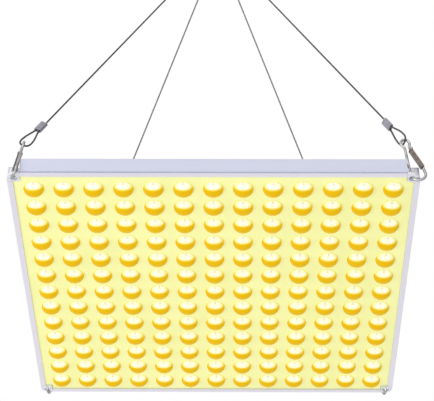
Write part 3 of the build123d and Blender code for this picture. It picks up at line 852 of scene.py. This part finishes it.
@dataclass
class LensField:
    """The domed lenses over the chips, in a square grid."""

    board_z: float  # height of the board's lower face
    count: int = 13
    pitch: float = 22.6 * MM
    rim_r: float = 8.3 * MM
    dome_r: float = 7.8 * MM
    height: float = 6.6 * MM
    flange: float = 0.6 * MM
    cavity_r: float = 2.8 * MM
    cavity_h: float = 2.4 * MM
    clear: float = 0.05 * MM  # gap between a lens and the board
    sides: int = 32
    dome_steps: int = 11
    cavity_steps: int = 5

    def places(self) -> list[tuple[float, float]]:
        """Find the lenses' centres in the frame's plan.

        Returns:
            Their places along X and Y.
        """
        start = -self.pitch * (self.count - 1) / 2
        line = [start + self.pitch * k for k in range(self.count)]
        return [(x, y) for y in line for x in line]

    def profile(self) -> list[tuple[float, float]]:
        """A lens's outline: over the dome, round the flange and up into the hollow.

        Returns:
            Points of radius and depth below the board.
        """
        dome = [
            (self.dome_r * math.cos(QUARTER_TURN * k / self.dome_steps),
             self.flange
             + (self.height - self.flange) * math.sin(QUARTER_TURN * k / self.dome_steps))
            for k in range(self.dome_steps)
        ]
        hollow = [
            (self.cavity_r * math.sin(QUARTER_TURN * k / self.cavity_steps),
             self.cavity_h * math.cos(QUARTER_TURN * k / self.cavity_steps))
            for k in range(1, self.cavity_steps + 1)
        ]
        return [(0.0, self.height), *dome[::-1], (self.rim_r, self.flange),
                (self.rim_r, self.clear), (self.cavity_r + self.clear, self.clear),
                *hollow[::-1][1:], (0.0, self.cavity_h)]

    def lathe(self) -> bmesh.types.BMesh:
        """Turn the outline into a round lens at every place.

        Returns:
            The joined geometry.
        """
        mesh = bmesh.new()
        outline = self.profile()
        for x, y in self.places():
            rings: list[list[bmesh.types.BMVert]] = []
            for radius, depth in outline:
                z = self.board_z - depth
                if radius == 0:
                    rings.append([mesh.verts.new((x, y, z))])
                    continue
                angles = [FULL_TURN * k / self.sides for k in range(self.sides)]
                rings.append([
                    mesh.verts.new((x + radius * math.cos(a), y + radius * math.sin(a), z))
                    for a in angles
                ])
            for first, second in zip(rings, rings[1:]):
                self.join_rings(mesh, first, second)
        return mesh

    def join_rings(
        self,
        mesh: bmesh.types.BMesh,
        first: list[bmesh.types.BMVert],
        second: list[bmesh.types.BMVert],
    ) -> None:
        """Fill between two rings, either of which may be a single point.

        Args:
            mesh: The geometry that the faces are added to.
            first: One ring's corners.
            second: The next ring's corners.
        """
        for k in range(self.sides):
            after = (k + 1) % self.sides
            if len(first) == 1:
                mesh.faces.new((first[0], second[after], second[k]))
            elif len(second) == 1:
                mesh.faces.new((first[k], first[after], second[0]))
            else:
                mesh.faces.new((first[k], first[after], second[after], second[k]))

    def build_domes(self) -> None:
        """Build the domes, each with a flange and a hollow over its chip."""
        domes = new_piece("lens_domes", self.lathe(), DomePaintedLight(self).make())
        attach(domes, "lamp")
        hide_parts("lenses")
        LOG.info("lens domes: %d", len(self.places()))


@dataclass(frozen=True)
class DomePaintedLight:
    """A dome with painted light: a painted highlight and white where it faces the front edge, a
    painted gold reflection where it faces away, and a painted glow.
    """

    lenses: LensField
    gloss: tuple[float, float] = (0.17, 0.33)
    haze_scale: float = 900.0
    # painted glow: the dome is no lamp
    glow: float = 0.3
    specular: float = 0.08
    # painted highlight near the front of each dome, fading out to the painted pale glow
    painted_highlight_at: tuple[float, float] = (0.0, -4.2 * MM)
    painted_highlight_r: tuple[float, float] = (3.6 * MM, 6.2 * MM)
    painted_highlight: Colour = (0.95, 0.93, 0.78)
    # pale yellow of the painted glow seen in the dome
    pale: Colour = (0.86, 0.82, 0.36)
    turn: tuple[float, float] = (-0.66, -0.44)  # facing along Y where the painted white turns to painted gold
    # painted gold reflection on the faces that look away along Y
    golds: Stops = (
        (0.25, (0.84, 0.64, 0.06)), (0.33, (0.70, 0.42, 0.0)), (0.58, (0.67, 0.40, 0.0)),
        (0.72, (0.70, 0.47, 0.002)), (0.85, (0.44, 0.33, 0.0)),
    )
    ring_at: tuple[float, float] = (0.0, -6.7 * MM)
    ring_r: float = 0.9 * MM
    ring_soft: float = 0.4 * MM
    ring_strength: float = 0.5
    ring_tone: Colour = (0.28, 0.28, 0.22)
    flange_fade: tuple[float, float] = (-0.05 * MM, 0.1 * MM)  # from the dome's foot

    def make(self) -> bpy.types.Material:
        """Build the node material.

        Returns:
            The finished material.
        """
        material = bpy.data.materials.new("dome_painted_light")
        material.use_nodes = True
        nodes, links = material.node_tree.nodes, material.node_tree.links
        shader = nodes["Principled BSDF"]
        shader.inputs["Specular IOR Level"].default_value = self.specular
        shader.inputs["Emission Strength"].default_value = self.glow
        place = nodes.new("ShaderNodeTexCoord")
        facing = nodes.new("ShaderNodeSeparateXYZ")
        links.new(place.outputs["Normal"], facing.inputs["Vector"])
        apart = nodes.new("ShaderNodeSeparateXYZ")
        links.new(place.outputs["Object"], apart.inputs["Vector"])
        across = cell_axis(nodes, links, apart.outputs["X"], self.lenses.pitch)
        along = cell_axis(nodes, links, apart.outputs["Y"], self.lenses.pitch)

        # Painted highlight fading into the painted pale glow, then painted gold on the faces that
        # look away.
        off_painted_highlight = distance_from(nodes, links, across, along, self.painted_highlight_at)
        colour = mixed(nodes, links, ranged(nodes, links, off_painted_highlight, self.painted_highlight_r),
                       self.painted_highlight, self.pale)
        gold = nodes.new("ShaderNodeValToRGB")
        set_ramp(gold, self.golds)
        links.new(ranged(nodes, links, facing.outputs["Y"], (-1.0, 1.0)), gold.inputs["Fac"])
        colour = mixed(nodes, links, ranged(nodes, links, facing.outputs["Y"], self.turn),
                       colour, gold.outputs["Color"])
        colour = self.add_ring(nodes, links, colour, across, along)
        colour = self.fade_flange(nodes, links, colour, across, along)
        links.new(colour, shader.inputs["Base Color"])
        links.new(colour, shader.inputs["Emission Color"])
        mapping = nodes.new("ShaderNodeMapping")
        links.new(place.outputs["Object"], mapping.inputs["Vector"])
        haze = noise_node(nodes, links, mapping, self.haze_scale, GRAIN_DETAIL)
        add_roughness(nodes, links, haze, self.gloss)
        return material

    def add_ring(
        self,
        nodes: bpy.types.Nodes,
        links: bpy.types.NodeLinks,
        colour: bpy.types.NodeSocket,
        across: bpy.types.NodeSocket,
        along: bpy.types.NodeSocket,
    ) -> bpy.types.NodeSocket:
        """Draw a faint darker ring on the dome's front side.

        Args:
            nodes: The material's nodes.
            links: The material's links.
            colour: The colour before the ring.
            across: The coordinate along X in the lens's own square.
            along: The coordinate along Y.

        Returns:
            The socket with the colour.
        """
        far = distance_from(nodes, links, across, along, self.ring_at)
        off = nodes.new("ShaderNodeMath")
        off.operation = "SUBTRACT"
        off.inputs[1].default_value = self.ring_r
        links.new(far, off.inputs[0])
        size = nodes.new("ShaderNodeMath")
        size.operation = "ABSOLUTE"
        links.new(off.outputs[0], size.inputs[0])
        soft = nodes.new("ShaderNodeMapRange")
        soft.inputs["From Max"].default_value = self.ring_soft
        soft.inputs["To Min"].default_value = self.ring_strength
        soft.inputs["To Max"].default_value = 0.0
        links.new(size.outputs[0], soft.inputs["Value"])
        return mixed(nodes, links, soft.outputs["Result"], colour, self.ring_tone)

    def fade_flange(
        self,
        nodes: bpy.types.Nodes,
        links: bpy.types.NodeLinks,
        colour: bpy.types.NodeSocket,
        across: bpy.types.NodeSocket,
        along: bpy.types.NodeSocket,
    ) -> bpy.types.NodeSocket:
        """Fade the thin flange into the pale yellow of the painted glow.

        Args:
            nodes: The material's nodes.
            links: The material's links.
            colour: The dome's colour.
            across: The coordinate along X in the lens's own square.
            along: The coordinate along Y.

        Returns:
            The socket with the colour.
        """
        far = distance_from(nodes, links, across, along, (0.0, 0.0))
        start, end = (self.lenses.dome_r + edge for edge in self.flange_fade)
        return mixed(nodes, links, ranged(nodes, links, far, (start, end)), colour, self.pale)


def main() -> None:
    """Build the studio and then the light, piece by piece."""
    logging.basicConfig(level=logging.INFO, format="%(message)s")
    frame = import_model()
    nodes: CadNodes = frame["nodes"]

    Studio(face_z=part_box("front_rail")[0][2]).set_up()
    hanger = Hanger(nodes)
    hanger.build_ropes()
    hanger.dress_hardware()
    Panel(nodes).dress_all()
    LensField(board_z=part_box("led_board")[0][2]).build_domes()


if __name__ == "__main__":
    main()
